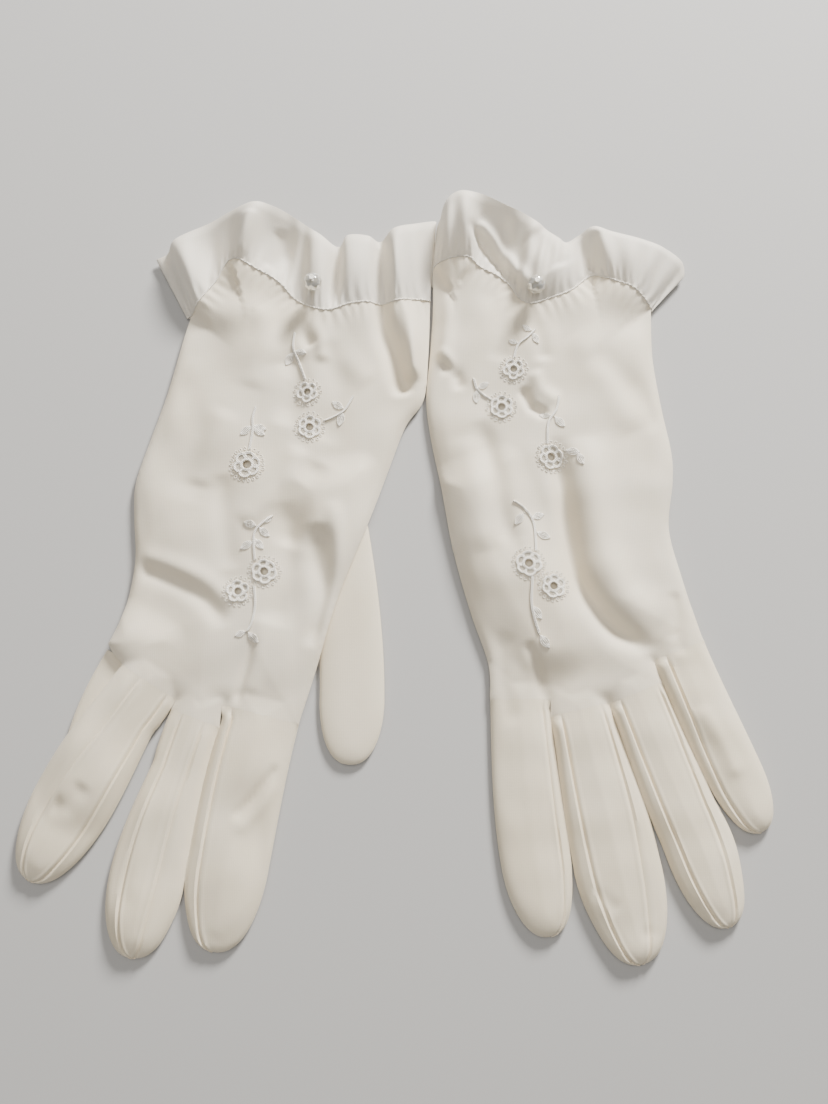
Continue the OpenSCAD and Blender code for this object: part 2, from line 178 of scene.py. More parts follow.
leftGlove = {
    "name": "left",
    "turn": -1,
    "digits": {
        "thumb": ((33, 8), (43, -20), (60, -46), 20, 20),
        "index": ((43, -60.5), (43.5, -100), (53, -139), 19, 23),
        "middle": ((64.5, -64), (74, -104), (83, -148), 18, 28.5),
        "ring": ((83.5, -58.5), (98, -95), (113, -136), 16, 22.5),
        "little": ((101, -43), (112.5, -74), (125.5, -105), 16.5, 19),
    },
    "strips": {
        "index": {1: (0.78, 0.7, 0.0)},
        "middle": {-1: (0.66, 0.6, 1.5), 1: (0.72, 0.42, 0.3)},
        "ring": {-1: (0.6, 0.55, 1.5), 1: (0.8, 0.5, 0.3)},
        "little": {-1: (0.6, 0.7, 1.3)},
    },
    "tucked": ("thumb",),
    "outer": [(94.5, 83), (94.5, 64), (97, 45), (100, 28), (100, 17), (98, 0), (102, -18), (108, -39)],
    "inner": [
        (33.4, -60), (33, -48), (27, -30), (21, -8), (17, 14),
        (13, 34), (11.5, 48), (13, 66), (14, 82), (14, 98),
    ],
    "fills": {
        "index": {1: (3, 0.9)},
        "middle": {-1: (4, 0.9), 1: (3, 0.65)},
        "ring": {-1: (4, 0.65), 1: (6, 0.9)},
        "little": {-1: (3, 0.9)},
    },
    "overFrill": [
        ((14, 98, 2.4), (17, 118.5, 4.5), 1), ((17, 99.5, 6.5), (19, 122, 11), 2.5),
        ((22.5, 100.5, 8.5), (23, 123.5, 14.5), 2.5), ((27.5, 100, 9), (27.5, 123.3, 15), 2),
        ((31, 97.5, 6.5), (34, 121.5, 14.5), -2.5), ((37, 95, 5), (40, 119, 13.5), -3.5),
        ((42, 91.5, 4.2), (46, 116.5, 12.5), -2), ((45.5, 86, 5), (52, 113.5, 11), 2),
        ((50, 83, 7), (56.5, 110.5, 9.5), 3.5), ((57, 85, 7.5), (60.5, 108.5, 8), 3.5),
        ((64.5, 88, 7.5), (63.5, 107.3, 6.5), 2), ((72, 94.5, 4.5), (68, 109.8, 7), -0.8),
        ((77, 93, 7), (73, 112, 10), 1.2), ((82, 91, 8), (80, 110.2, 9.5), 1.5),
        ((87, 89, 8), (91, 107.4, 9), 1), ((91.5, 86, 5), (99.5, 104.8, 7), 0.5),
        ((94.5, 83, 1.8), (107, 100, 3.5), 0),
    ],
    "underFrill": [
        ((93, 82, 1), (104, 94, 1), 0), ((75, 83, 0.8), (80, 104, 0.8), 0),
        ((55, 83, 0.8), (58, 105, 0.8), 0),
        ((35, 85, 0.8), (36, 106, 0.8), 0), ((15, 91, 1), (17, 112, 1), 0),
    ],
    "frillFolds": [
        ([(27, 112), (33, 106), (39, 98), (45, 89)], -2.2, 1.7),
        ([(30, 113), (37, 107), (43, 98), (49, 88)], 1.8, 2.4),
        ([(73, 110), (73.5, 103), (72.5, 96)], -1.2, 1.5),
        ([(50, 110), (55, 103), (60, 95)], -1.0, 5.0),
    ],
    "flowers": {
        "wrist": [(43, 58, 4.2), (38.5, 44, 4.6), (56, 25.5, 4.8)],
        "knuckle": [(47, -13.5, 5.0), (55.5, -21.5, 4.6)],
    },
    "stems": [
        [(51, 73), (48, 70), (44.5, 67), (43, 62)],
        [(28.5, 55), (29.5, 51), (32, 48.5), (35, 46.5)],
        [(59, 48), (58, 43), (55, 38), (54.5, 30)],
        [(42, 9), (46, 6), (49, 1), (49.5, -9)],
        [(48, -18), (47.5, -27), (48.5, -33), (50, -38)],
    ],
    "leaves": [
        ((50, 72), (46.5, 74.5)), ((50, 72), (52, 67.5)), ((45, 67.5), (41.5, 69)),
        ((29.6, 51), (34, 53)), ((29.6, 51), (29.5, 45.5)),
        ((56.5, 40.5), (52, 41)), ((57, 40.5), (61, 36.5)), ((48, 3), (53, 4.5)),
        ((46, 5), (42.5, 0.5)), ((49.5, -2), (55, -4)), ((47.6, -28), (51, -33)), ((50, -38), (53.5, -43)),
        ((65, 27), (67, 22)), ((60.5, 28), (66, 26.5)),
    ],
    "creases": [
        ([(58, 34), (60, 14), (62, -4), (66, -22), (78, -37), (95, -45)], -3.0, 3.6),
        ([(68, 34), (70, 10), (73, -8), (80, -24), (94, -36)], 2.2, 6.5),
        ([(46, 52), (49, 44), (56, 41)], -1.5, 1.8),
        ([(50, 58), (53, 50), (60, 46)], 0.9, 2.6),
        ([(16, 60), (22, 58), (24, 50)], -1.0, 2.2),
        ([(15, 66), (19, 63), (23, 56)], 0.8, 2.0),
        ([(99, -22), (99, -34), (100, -46)], -0.7, 2.6),
        ([(30, 40), (36, 20), (40, -2), (46, -8)], -1.3, 3.8),
        ([(24, 34), (29, 12), (33, -10)], 0.8, 4.5),
        ([(46, -40), (49, -48), (53, -62)], -0.9, 1.8),
        ([(40, -36), (36, -50), (42, -70)], -0.5, 3.5),
        ([(70, 66), (84, 54), (97, 36)], -0.8, 5.0),
        ([(64, 72), (76, 56), (86, 34)], 0.8, 6.0),
        ([(52, 82), (54, 66), (50, 40)], 0.9, 4.5),
        ([(34, 92), (40, 76), (38, 60)], -0.7, 4.5),
        ([(66, -124), (70, -126), (76, -131)], -0.4, 2.4),
        ([(82, -138), (88, -138), (92, -137)], -0.3, 2.2),
        ([(104, -62), (112, -74), (118, -88)], 0.6, 3.0),
        ([(17, 98), (19, 80), (17, 60)], 1.2, 3.0),
        ([(46, 84), (52, 74), (54, 60)], -1.0, 3.0),
    ],
}


def eased(t):
    return t * t * (3 - 2 * t)


def pointOn(digit, t):
    a, b, c = (np.array(p, float) for p in digit[:3])
    return (a + (b - a) * t) * (1 - t) + (b + (c - b) * t) * t


def headingOf(digit, t):
    a, b, c = (np.array(p, float) for p in digit[:3])
    d = (b - a) * (1 - t) + (c - b) * t
    return d / np.linalg.norm(d)


def widthAt(digit, t):
    length = math.dist(digit[0], digit[2])
    taper = 1 - cloth["tipTaper"] * digit[4] / length
    if t <= taper:
        return digit[3] + (digit[4] - digit[3]) * eased(min(max(t / taper, 0), 1))
    a = math.asin(min((t - taper) / (1 - taper), 1))
    return digit[4] * max(math.cos(a), 0.0) ** 0.85


# Half the width on one side, with what the side strip adds near the root to reach its neighbour
def reachAt(glove, part, t, side):
    half = widthAt(glove["digits"][part], t) / 2
    extra = glove.get("reach", {}).get((part, side))
    return half if extra is None else half + float(np.interp(t, extra[0], extra[1]))


def digitOutline(glove, part, back=0.0, count=40):
    digit = glove["digits"][part]
    left, right = [], []
    stops = [0.86 * k / count for k in range(count)]
    stops += [0.86 + 0.14 * math.sin(math.pi / 2 * k / 14) for k in range(15)]
    for t in stops:
        d = headingOf(digit, t)
        n = np.array([-d[1], d[0]])
        p = pointOn(digit, t)
        left.append(p + n * reachAt(glove, part, t, 1))
        right.append(p - n * reachAt(glove, part, t, -1))
    if back:
        d = headingOf(digit, 0)
        left.insert(0, left[0] - d * back)
        right.insert(0, right[0] - d * back)
    return np.array(left + right[::-1])


# How far each side strip can swell before it meets the digit beside it, no further than halfway
def settleReaches(glove):
    order = [n for n in ("index", "middle", "ring", "little") if n not in glove["tucked"]]
    plain = {n: digitOutline(glove, n, 3.0) for n in order}
    found = {}
    for part, sides in glove["fills"].items():
        for side, (most, until) in sides.items():
            place = order.index(part) - side * glove["turn"]
            if not 0 <= place < len(order):
                continue
            digit = glove["digits"][part]
            stops = np.linspace(0, 0.96, 49)
            steps = np.linspace(0, most, 26)
            points = []
            for t in stops:
                d = headingOf(digit, t)
                n = np.array([-d[1], d[0]]) * side
                points += [pointOn(digit, t) + n * (widthAt(digit, t) / 2 + r) for r in steps]
            points = np.array(points)
            near = depthIn(points, plain[part]) > depthIn(points, plain[order[place]]) + 0.12
            near = near.reshape(len(stops), len(steps))
            room = np.where(near.all(1), most, steps[np.argmin(near, axis=1)])
            fade = 1 - eased(np.clip((stops - until * 0.35) / (until * 0.65), 0, 1))
            room = np.minimum(room, most * fade)
            kernel = np.ones(9) / 9
            for _ in range(2):
                room = np.minimum(room, np.convolve(np.pad(room, 4, "edge"), kernel, "valid"))
            found[(part, side)] = (np.append(stops, 1.0), np.append(room, 0.0))
    glove["reach"] = found


def smoothLine(points, closed=False, step=1.5):
    pts = np.array(points, float)
    n = len(pts)
    out = []
    for i in range(n if closed else n - 1):
        if closed:
            a, b, c, d = (pts[(i + k) % n] for k in (-1, 0, 1, 2))
        else:
            a, b, c, d = (pts[min(max(i + k, 0), n - 1)] for k in (-1, 0, 1, 2))
        m = max(2, int(np.linalg.norm(c - b) / step))
        for k in range(m):
            t = k / m
            curve = (2 * a - 5 * b + 4 * c - d) * t**2 + (3 * b - a - 3 * c + d) * t**3
            out.append(0.5 * (2 * b + (c - a) * t + curve))
    if not closed:
        out.append(pts[-1])
    return np.array(out)


# Distance from points to a line of segments, and whether they lie inside a closed one
def distanceTo(points, line, closed=False):
    best = np.full(len(points), 1e9)
    where = np.zeros(len(points))
    ends = np.roll(line, -1, axis=0) if closed else line[1:]
    starts = line if closed else line[:-1]
    for i, (a, b) in enumerate(zip(starts, ends)):
        d = b - a
        t = np.clip(((points - a) @ d) / max(d @ d, 1e-9), 0, 1)
        away = np.linalg.norm(points - (a + t[:, None] * d), axis=1)
        closer = away < best
        best = np.where(closer, away, best)
        where = np.where(closer, (i + t) / len(starts), where)
    return best, where


def insideOf(points, ring):
    inside = np.zeros(len(points), bool)
    x, y = points[:, 0], points[:, 1]
    for (x0, y0), (x1, y1) in zip(ring, np.roll(ring, -1, axis=0)):
        crosses = (y0 > y) != (y1 > y)
        slope = (x1 - x0) * (y - y0) / (y1 - y0 if abs(y1 - y0) > 1e-12 else 1e-12) + x0
        inside ^= crosses & (x < slope)
    return inside


def depthIn(points, ring):
    away, _ = distanceTo(points, ring, True)
    return np.where(insideOf(points, ring), away, -away)


def softMax(a, b, blend):
    h = np.clip(0.5 + (a - b) / (2 * blend), 0, 1)
    return a * h + b * (1 - h) + blend * h * (1 - h)


# Slow undulations of loose cloth: a few sine waves whose directions and phases come from a seed
def undulation(points, seed, size, waves=7):
    rng = np.random.default_rng(seed)
    total = np.zeros(len(points))
    for _ in range(waves):
        a = rng.uniform(0, math.tau)
        k = math.tau / (size * rng.uniform(0.7, 1.5))
        total += np.sin(points @ np.array([math.cos(a), math.sin(a)]) * k + rng.uniform(0, math.tau))
    return total / math.sqrt(waves)


def rootCorners(glove, part):
    digit = glove["digits"][part]
    d = headingOf(digit, 0)
    n = np.array([-d[1], d[0]])
    centre = np.array(digit[0], float)
    return centre + n * reachAt(glove, part, 0, 1), centre - n * reachAt(glove, part, 0, -1)


# The plan of one hand panel: the outer side, the roots of the digits, the inner side and the wrist
def handRing(glove, wristLine):
    outer = smoothLine(glove["outer"])
    inner = smoothLine(glove["inner"])
    wrist = wristLine if glove["turn"] < 0 else wristLine[::-1]
    roots = []
    for name in ("little", "ring", "middle", "index"):
        if name in glove["tucked"]:
            continue
        right, left = rootCorners(glove, name)
        roots += [left, right] if glove["turn"] > 0 else [right, left]
    last = outer[-1] + (roots[0] - outer[-1]) * 0.5
    return np.concatenate([outer[:-1], [last], roots, inner[1:], wrist[1:-1]])


def seamOf(glove, key, step=1.0):
    return smoothLine([a for a, b, c in glove[key]], step=step)


class Lie:
    # The height of a glove's upper and lower cloth over the table at any point

    def __init__(self, glove):
        self.glove = glove
        settleReaches(glove)
        self.seam = seamOf(glove, "overFrill")
        self.hand = handRing(glove, self.seam[:, :2])
        under = seamOf(glove, "underFrill")[::-1]
        self.palm = handRing(glove, under[:, :2])
        high = self.hand[:, 1:] > 76
        self.handFar = self.hand + np.where(high, 1, 0) * np.array([0, 26.0])
        self.shapes = {
            n: digitOutline(glove, n, cloth["rootReach"]) for n in glove["digits"]
        }
        self.seed = 11 if glove["name"] == "right" else 29

    def depth(self, points, part):
        if part in self.glove["tucked"]:
            return depthIn(points, self.shapes[part])
        total = depthIn(points, self.handFar)
        for name, ring in self.shapes.items():
            if name not in self.glove["tucked"]:
                total = softMax(total, depthIn(points, ring), 1.6)
        return total

    def base(self, points, part):
        if part in self.glove["tucked"]:
            return np.zeros(len(points))
        lift = np.zeros(len(points))
        for name in self.glove["tucked"]:
            over = depthIn(points, self.shapes[name])
            lift = np.maximum(lift, cloth["tuckedLift"] * eased(np.clip((over + 9) / 14, 0, 1)))
        return lift

    def puff(self, points, part):
        d = np.clip(self.depth(points, part), 0, None)
        finger = cloth["fingerPuff"] * np.sqrt(1 - (1 - np.clip(d / cloth["fingerRound"], 0, 1)) ** 2)
        more = cloth["handPuff"] - cloth["fingerPuff"]
        body = more * eased(np.clip(d / (2.2 * cloth["handRound"]), 0, 1))
        if part in self.glove["tucked"]:
            return finger * 0.62
        return finger + body

    def folds(self, points, part):
        d = np.clip(self.depth(points, part), 0, None)
        soft = eased(np.clip(d / 6, 0, 1))
        total = undulation(points, self.seed, 34) * 0.42 + undulation(points, self.seed + 5, 17) * 0.17
        for line, high, wide in self.glove["creases"]:
            away, where = distanceTo(points, smoothLine(line, step=4))
            fade = eased(np.clip(np.minimum(where, 1 - where) * 5, 0, 1))
            total += 1.25 * high * fade * np.exp(-((away / wide) ** 2))
        return total * soft

    def top(self, points, part=""):
        p = np.asarray(points, float)
        z = cloth["seamHeight"] + self.puff(p, part)
        if part in self.glove["tucked"]:
            return np.minimum(z, 3.4)
        z = z + self.base(p, part) + self.folds(p, part)
        z = np.maximum(z, self.bottom(p, part) + 0.5)
        if part:
            return z
        away, where = distanceTo(p, self.seam[:, :2])
        along = where * (len(self.seam) - 1)
        seamZ = np.interp(along, np.arange(len(self.seam)), self.seam[:, 2])
        pull = np.exp(-((away / cloth["wristPull"]) ** 2))
        gathers = 0.35 * np.sin(along * 1.9) * np.exp(-((away / 5.0) ** 2)) * (1 - np.exp(-away / 0.8))
        return z * (1 - pull) + seamZ * pull + gathers

    def bottom(self, points, part=""):
        p = np.asarray(points, float)
        share = eased(np.clip(self.depth(p, part) / 5, 0, 1))
        return cloth["seamHeight"] * (1 - share) + 0.2 * share + self.base(p, part)

    # The palm cloth, which rises to lie close under the eyelets
    def palmCloth(self, points):
        p = np.asarray(points, float)
        low = self.bottom(p)
        near = np.zeros(len(p))
        for group in self.glove["flowers"].values():
            for x, y, r in group:
                near = np.maximum(near, np.exp(-(((p[:, 0] - x) ** 2 + (p[:, 1] - y) ** 2) / 60.0) ** 2))
        return low + near * np.maximum(self.top(p) - 2.0 - low, 0)


def toFrame(points, heights):
    p = np.column_stack([np.asarray(points, float) + shift, heights])
    return p * mm


def makeMesh(name, vertices, faces, uvs=None):
    mesh = bpy.data.meshes.new(name)
    mesh.from_pydata([tuple(v) for v in vertices], [], [tuple(int(i) for i in f) for f in faces])
    mesh.update()
    if uvs is not None:
        layer = mesh.uv_layers.new(name="cloth")
        index = np.zeros(len(mesh.loops), np.int32)
        mesh.loops.foreach_get("vertex_index", index)
        layer.data.foreach_set("uv", np.asarray(uvs, np.float32)[index].ravel())
    piece = bpy.data.objects.new(name, mesh)
    bpy.context.scene.collection.objects.link(piece)
    return piece


def chooseOnly(piece):
    for o in list(bpy.context.selected_objects):
        o.select_set(False)
    piece.select_set(True)
    bpy.context.view_layer.objects.active = piece


def thicken(piece, thickness):
    chooseOnly(piece)
    solid = piece.modifiers.new("wall", "SOLIDIFY")
    solid.thickness = thickness * mm
    solid.offset = -1
    solid.use_quality_normals = True
    bpy.ops.object.modifier_apply(modifier=solid.name)
    return piece


def smoothShade(piece, angle=50):
    chooseOnly(piece)
    bpy.ops.object.shade_smooth_by_angle(angle=math.radians(angle))


def facesUp(piece, up=True):
    mesh = piece.data
    total = sum(f.normal.z * f.area for f in mesh.polygons)
    if (total > 0) != up:
        mesh.flip_normals()


# A flat panel of triangles inside a ring, with holes, raised to the height of the cloth
def panel(name, ring, holes, heightOf, step, up=True):
    low, high = ring.min(0), ring.max(0)
    rows = np.arange(low[1], high[1], step * 0.866)
    points = []
    for i, y in enumerate(rows):
        xs = np.arange(low[0] + (step / 2 if i % 2 else 0), high[0], step)
        points += [(x, y) for x in xs]
    points = np.array(points)
    keep = depthIn(points, ring) > step * 0.45
    for hole in holes:
        keep &= depthIn(points, hole) < -step * 0.35
    inner = points[keep]
    loops = [ring, *holes]
    flat = np.concatenate([*loops, inner])
    edges, first = [], 0
    for loop in loops:
        n = len(loop)
        edges += [(first + i, first + (i + 1) % n) for i in range(n)]
        first += n
    made = delaunay_2d_cdt([Vector(p) for p in flat], edges, [], 0, 1e-5)
    xy = np.array([tuple(v) for v in made[0]])
    faces = np.array([f for f in made[2] if len(f) == 3])
    middles = xy[faces].mean(1)
    good = insideOf(middles, ring)
    for hole in holes:
        good &= ~insideOf(middles, hole)
    faces = faces[good]
    used = np.unique(faces)
    renumber = np.full(len(xy), -1)
    renumber[used] = np.arange(len(used))
    xy = xy[used]
    piece = makeMesh(name, toFrame(xy, heightOf(xy)), renumber[faces], xy * mm)
    facesUp(piece, up)
    return piece


def evenRing(ring, step):
    out = []
    for a, b in zip(ring, np.roll(ring, -1, axis=0)):
        n = max(1, int(round(np.linalg.norm(b - a) / step)))
        out += [a + (b - a) * k / n for k in range(n)]
    return np.array(out)


def roundHole(centre, radius, count=20):
    a = np.linspace(0, math.tau, count, endpoint=False)
    return np.column_stack([centre[0] + radius * np.cos(a), centre[1] + radius * np.sin(a)])


def shareAt(strip, t):
    return strip[0] + (strip[1] - strip[0]) * eased(min(t, 1.0))


# A digit's cloth between two of its seams, on the upper or lower side
def digitStrip(name, lie, part, low, high, upper, columns=14):
    digit = lie.glove["digits"][part]
    strips = lie.glove["strips"].get(part, {}) if upper else {}
    rows, tipRows = 54, 26
    stops = [-0.004 + 0.804 * k / rows for k in range(rows)]
    stops += [0.8 + 0.2 * math.sin(math.pi / 2 * k / tipRows) for k in range(tipRows + 1)]
    flat, across, along = [], [], []
    for t in stops:
        d = headingOf(digit, t)
        n = np.array([-d[1], d[0]])
        halves = {side: reachAt(lie.glove, part, t, side) for side in (-1, 1)}
        a = math.asin(low if isinstance(low, int) else math.copysign(shareAt(low, t), low[3]))
        b = math.asin(high if isinstance(high, int) else math.copysign(shareAt(high, t), high[3]))
        for j in range(columns + 1):
            s = math.sin(a + (b - a) * j / columns)
            half = halves[1 if s > 0 else -1]
            flat.append(pointOn(digit, t) + n * half * s)
            across.append(s * half)
            along.append(t)
    flat, across, along = np.array(flat), np.array(across), np.array(along)
    if upper:
        z = lie.top(flat, part)
        narrow = np.array([widthAt(digit, t) / 2 for t in along])
        start = eased(np.clip(along / 0.05, 0, 1)) * np.clip(narrow / 5, 0, 1)
        for side, strip in strips.items():
            half = np.array([reachAt(lie.glove, part, t, side) for t in along])
            share = np.array([shareAt(strip, t) for t in along])
            out = across * side - share * half
            wide = np.maximum((1 - share) * half, 0.3)
            roll = np.sin(np.pi * np.clip(out / wide, 0, 1)) ** 0.7
            z = z + strip[2] * start * (1 - 0.75 * eased(np.clip(along * 1.25, 0, 1))) * roll
            z = z - start * cloth["seamGroove"] * np.exp(-((out / 0.5) ** 2))
            z = z + start * cloth["seamRidge"] * np.exp(-(((np.abs(out) - 0.95) / 0.55) ** 2))
        z = np.maximum(z, lie.bottom(flat, part) + 0.05)
    else:
        z = lie.bottom(flat, part)
    faces = []
    m = columns + 1
    for i in range(len(stops) - 1):
        for j in range(columns):
            a = i * m + j
            faces.append((a, a + 1, a + m + 1, a + m))
    uvs = np.column_stack([across, along * 80]) * mm
    piece = makeMesh(name, toFrame(flat, z), faces, uvs)
    chooseOnly(piece)
    bpy.ops.object.mode_set(mode="EDIT")
    bpy.ops.mesh.select_all(action="SELECT")
    bpy.ops.mesh.remove_doubles(threshold=0.02 * mm)
    bpy.ops.object.mode_set(mode="OBJECT")
    facesUp(piece, upper)
    middle = flat.reshape(-1, m, 2)
    widths = np.linalg.norm(middle[:, -1] - middle[:, 0], axis=1)
    run = np.linalg.norm(np.diff(middle[:, m // 2], axis=0), axis=1).sum()
    piece["cut"] = (float(widths.max()) * mm * 1.04, float(run) * mm)
    return piece


# Threads laid on the cloth, each a line of points, made as one mesh of round tubes
def threads(name, lines, radius, sides=6, lie=None):
    vertices, faces = [], []
    sizes = np.cumsum([len(x) for x in lines])[:-1]
    every = np.concatenate([np.asarray(x, float) for x in lines])
    if lie is not None:
        every[:, 2] += lie.top(every[:, :2])
    for p in np.split(every, sizes):
        closed = np.linalg.norm(p[0] - p[-1]) < 0.05
        if closed:
            p = p[:-1]
        n = len(p)
        ahead = np.roll(p, -1, axis=0) if closed else np.vstack([p[1:], p[-1:]])
        behind = np.roll(p, 1, axis=0) if closed else np.vstack([p[:1], p[:-1]])
        run = ahead - behind
        run /= np.maximum(np.linalg.norm(run, axis=1, keepdims=True), 1e-9)
        side = np.cross(run, [0, 0, 1.0])
        side /= np.maximum(np.linalg.norm(side, axis=1, keepdims=True), 1e-9)
        up = np.cross(side, run)
        first = len(vertices)
        for i in range(n):
            for k in range(sides):
                a = math.tau * k / sides
                vertices.append(p[i] + radius * (math.cos(a) * side[i] + math.sin(a) * up[i]))
        for i in range(n if closed else n - 1):
            for k in range(sides):
                a, b = first + i * sides + k, first + i * sides + (k + 1) % sides
                c = first + ((i + 1) % n) * sides + (k + 1) % sides
                d = first + ((i + 1) % n) * sides + k
                faces.append((a, b, c, d))
        if not closed:
            faces.append(tuple(first + k for k in range(sides))[::-1])
            faces.append(tuple(first + (n - 1) * sides + k for k in range(sides)))
    v = np.array(vertices)
    piece = makeMesh(name, toFrame(v[:, :2], v[:, 2]), faces)
    chooseOnly(piece)
    bpy.ops.object.mode_set(mode="EDIT")
    bpy.ops.mesh.select_all(action="SELECT")
    bpy.ops.mesh.normals_make_consistent(inside=False)
    bpy.ops.object.mode_set(mode="OBJECT")
    smoothShade(piece, 70)
    return piece


# Shader maths as expressions on sockets
class Wire:
    def __init__(self, tree, socket):
        self.tree = tree
        self.socket = socket

    def maths(self, operation, other):
        n = self.tree.nodes.new("ShaderNodeMath")
        n.operation = operation
        for i, value in enumerate((self, other)):
            if isinstance(value, Wire):
                self.tree.links.new(value.socket, n.inputs[i])
            else:
                n.inputs[i].default_value = value
        return Wire(self.tree, n.outputs[0])

    def __add__(self, other):
        return self.maths("ADD", other)

    def __radd__(self, other):
        return self.maths("ADD", other)

    def __mul__(self, other):
        return self.maths("MULTIPLY", other)


class Finish:
    def __init__(self, name):
        self.material = bpy.data.materials.new(name)
        self.material.use_nodes = True
        self.tree = self.material.node_tree
        self.shader = self.tree.nodes["Principled BSDF"]

    def node(self, kind, settings=None, values=None):
        n = self.tree.nodes.new(kind)
        for key, value in (settings or {}).items():
            if key == "stops":
                for i, (at, colour) in enumerate(value):
                    e = n.color_ramp.elements[i] if i < 2 else n.color_ramp.elements.new(at)
                    e.position, e.color = at, colour
            else:
                setattr(n, key, value)
        for key, value in (values or {}).items():
            if isinstance(value, Wire):
                self.tree.links.new(value.socket, n.inputs[key])
            else:
                n.inputs[key].default_value = value
        return n

    def out(self, n, socket=0):
        return Wire(self.tree, n.outputs[socket])

    def set(self, key, value):
        if isinstance(value, Wire):
            self.tree.links.new(value.socket, self.shader.inputs[key])
        else:
            self.shader.inputs[key].default_value = value

    def place(self):
        return self.out(self.node("ShaderNodeTexCoord"), "Object")

    def mixed(self, share, a, b):
        n = self.node("ShaderNodeMix", {"data_type": "RGBA"}, {"Factor": share})
        for socket, value in ((n.inputs[6], a), (n.inputs[7], b)):
            if isinstance(value, Wire):
                self.tree.links.new(value.socket, socket)
            else:
                socket.default_value = value
        return self.out(n, 2)

    def bump(self, height, depth, strength=1.0):
        values = {"Height": height, "Distance": depth * mm, "Strength": strength}
        self.set("Normal", self.out(self.node("ShaderNodeBump", {}, values)))


# Fine warp-knit nylon: narrow wales across, tiny courses along, faint uneven ageing
def nylonFinish(name, pale, aged, sheen, soften):
    f = Finish(name)
    place = f.place()
    blotch = f.out(f.node("ShaderNodeTexNoise", {}, {"Vector": place, "Scale": 26.0, "Detail": 3.0}))
    dusty = f.out(f.node("ShaderNodeTexNoise", {}, {"Vector": place, "Scale": 95.0, "Detail": 4.0}))
    ramp = f.node(
        "ShaderNodeValToRGB",
        {"stops": ((0.32, (0, 0, 0, 1)), (0.72, (1, 1, 1, 1)))},
        {"Fac": blotch * 0.75 + dusty * 0.25},
    )
    f.set("Base Color", f.mixed(f.out(ramp), pale, aged))
    wales = f.out(
        f.node(
            "ShaderNodeTexWave",
            {"bands_direction": "X", "wave_profile": "SIN"},
            {"Vector": place, "Scale": 520.0, "Distortion": 0.8, "Detail": 1.0},
        ),
        1,
    )
    courses = f.out(
        f.node(
            "ShaderNodeTexWave",
            {"bands_direction": "Y", "wave_profile": "SIN"},
            {"Vector": place, "Scale": 640.0, "Distortion": 0.8, "Detail": 1.0},
        ),
        1,
    )
    crumple = f.out(f.node("ShaderNodeTexNoise", {}, {"Vector": place, "Scale": 60.0, "Detail": 5.0}))
    f.bump(wales * 0.03 + courses * 0.025 + crumple * soften, 0.6, 0.7)
    f.set("Roughness", 0.58 + crumple * 0.16)
    f.set("Sheen Weight", sheen)
    f.set("Sheen Roughness", 0.45)
    f.set("Specular IOR Level", 0.35)
    f.set("Subsurface Weight", 0.25)
    f.set("Subsurface Radius", (0.004, 0.0035, 0.003))
    f.set("Subsurface Scale", 0.5)
    return f.material


def stitchFinish(name, colour, shade):
    f = Finish(name)
    place = f.place()
    strands = f.out(
        f.node(
            "ShaderNodeTexWave",
            {"bands_direction": "DIAGONAL", "wave_profile": "SIN"},
            {"Vector": place, "Scale": 900.0, "Distortion": 3.0, "Detail": 2.0},
        ),
        1,
    )
    f.set("Base Color", f.mixed(strands * 0.4, colour, shade))
    f.bump(strands, 0.15, 0.8)
    f.set("Roughness", 0.32 + strands * 0.15)
    f.set("Sheen Weight", 0.4)
    f.set("Anisotropic", 0.3)
    return f.material


def glassFinish(name):
    f = Finish(name)
    place = f.place()
    glintAndRoughness = f.out(f.node("ShaderNodeTexNoise", {}, {"Vector": place, "Scale": 620.0, "Detail": 1.0}))
    # Grey and white patches in the base colour from this noise: painted glints and painted dark facets
    # standing in for reflections; the same noise varies the roughness
    glint = f.node(
        "ShaderNodeValToRGB",
        {"stops": ((0.44, (0, 0, 0, 1)), (0.54, (1, 1, 1, 1)))},
        {"Fac": glintAndRoughness},
    )
    f.set("Base Color", f.mixed(f.out(glint), (0.62, 0.60, 0.54, 1), (0.99, 0.99, 0.97, 1)))
    f.set("Roughness", 0.03 + glintAndRoughness * 0.06)
    f.set("Metallic", 0.15 + f.out(glint) * 0.25)
    f.set("Transmission Weight", 0.45)
    f.set("IOR", 1.6)
    f.set("Coat Weight", 0.8)
    return f.material


def giveFinish(piece, material):
    piece.data.materials.clear()
    piece.data.materials.append(material)


def stitchRing(centre, radius, lift, waves=0, wave=0.0, start=0.0, turn=math.tau, count=40):
    a = start + np.linspace(0, turn, count)
    r = radius + wave * np.sin(waves * a)
    xy = np.column_stack([centre[0] + r * np.cos(a), centre[1] + r * np.sin(a)])
    return np.column_stack([xy, np.full(len(xy), lift)])


def liftedLine(points, lift, step=0.6):
    xy = smoothLine(points, step=step)
    return np.column_stack([xy, np.full(len(xy), lift)])


embroidery = {
    "cord": 0.29,
    "satin": 0.14,
    "fringe": 0.13,
    "stem": 0.3,
    "leaf": 0.2,
    "eyelet": 0.3,
    "petals": 6,
    "satinTurns": 9,
    "loopsPerMm": 4.2,
    "stemLift": 0.34,
    # The last two: radius and lift of the wider dark cord laid under stems and leaves, a painted shadow
    # outline
    "shadowOutline": 0.42,
    "shadowOutlineLift": -0.1,
}


